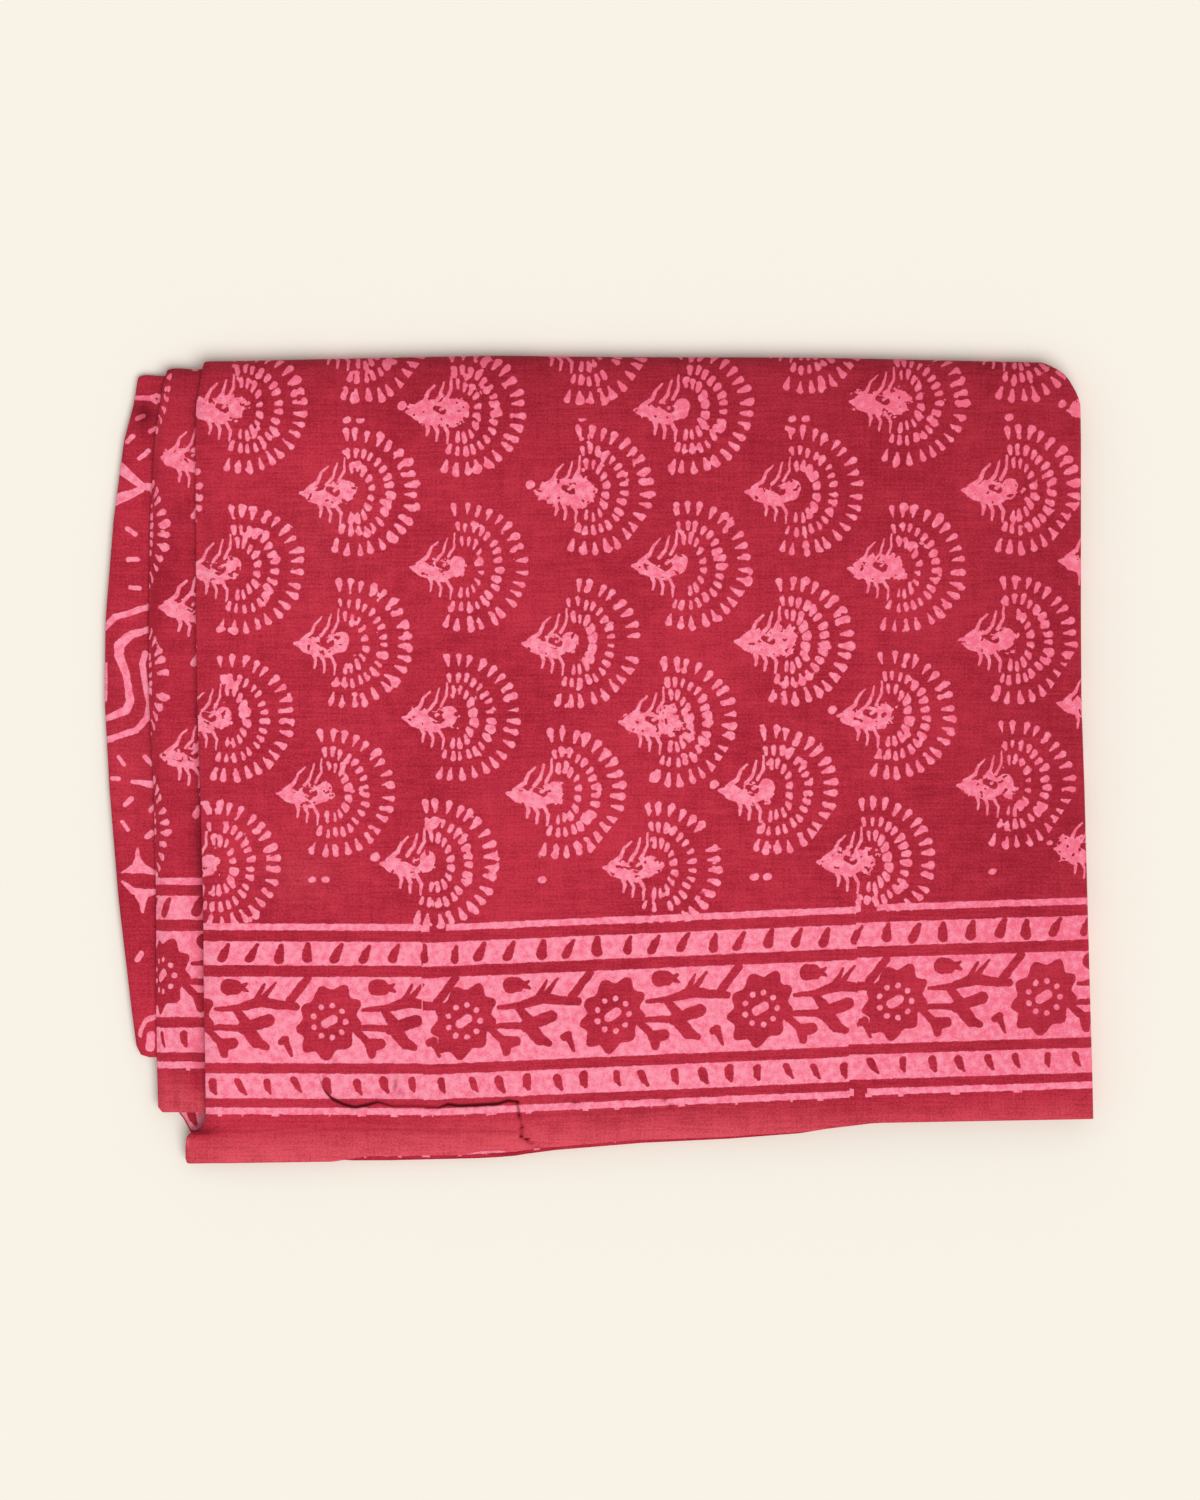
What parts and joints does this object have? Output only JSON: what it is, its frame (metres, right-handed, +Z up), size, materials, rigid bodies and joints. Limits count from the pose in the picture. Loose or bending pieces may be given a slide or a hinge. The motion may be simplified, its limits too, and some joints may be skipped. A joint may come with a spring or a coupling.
{
  "type": "dabu-printed dress fabric",
  "caption": "Crimson cotton dress length with pink block-printed fans and a flower border, folded into a flat packet.",
  "frame": {"origin": "on the ground, under the middle of the packet", "axes": "+X along the packet's long side, to the right as it lies with its border in front; +Y to the fold at the back; +Z up out of the printed face"},
  "size_m": [0.5646, 0.4607, 0.0179],
  "materials": {
    "folded_cloth": "plain-woven cotton, crimson with paler pink block print, matte"
  },
  "bodies": {
    "root": {"folded_cloth": "folded_cloth"}
  },
  "joints": []
}
